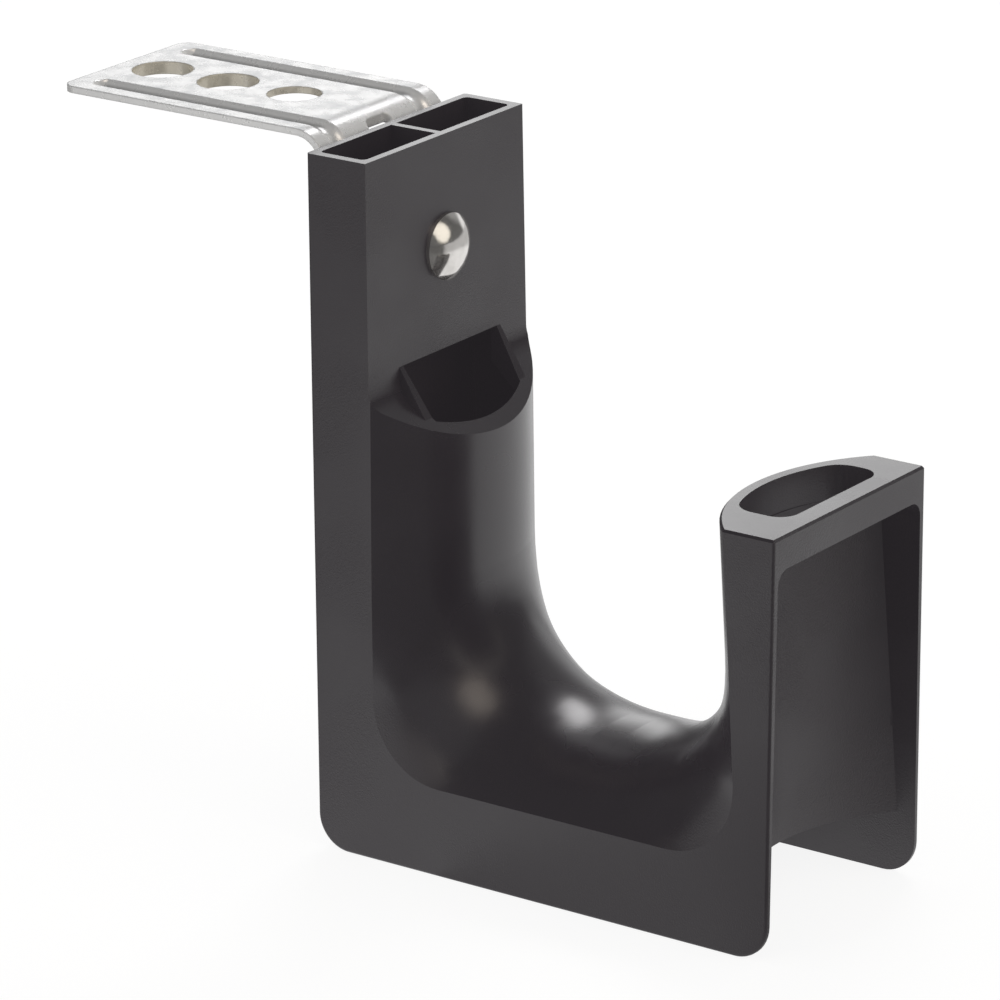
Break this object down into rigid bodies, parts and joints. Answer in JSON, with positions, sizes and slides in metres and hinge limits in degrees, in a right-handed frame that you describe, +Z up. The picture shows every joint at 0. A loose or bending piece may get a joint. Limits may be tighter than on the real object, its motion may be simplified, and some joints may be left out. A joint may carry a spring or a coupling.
{
  "type": "j-hook cable support",
  "caption": "Moulded plastic J-shaped cable hook with a saddle-curved run for a cable bundle, riveted to a pressed steel angle bracket for fixing under a ceiling.",
  "frame": {"origin": "on top of the bracket, in the middle of its centre fixing hole", "axes": "+Z up to the ceiling, -Y from the bracket towards the hook's lip, X across the hook"},
  "size_m": [0.045, 0.1456, 0.1216],
  "materials": {
    "black_nylon": "satin moulded, with a fine sparked texture on the flanges",
    "zinc_steel": "bright zinc plate",
    "rivet_steel": "bright nickel plate"
  },
  "bodies": {
    "root": {"hook_body": "black_nylon", "ceiling_bracket": "zinc_steel", "rivet": "rivet_steel"}
  },
  "joints": []
}
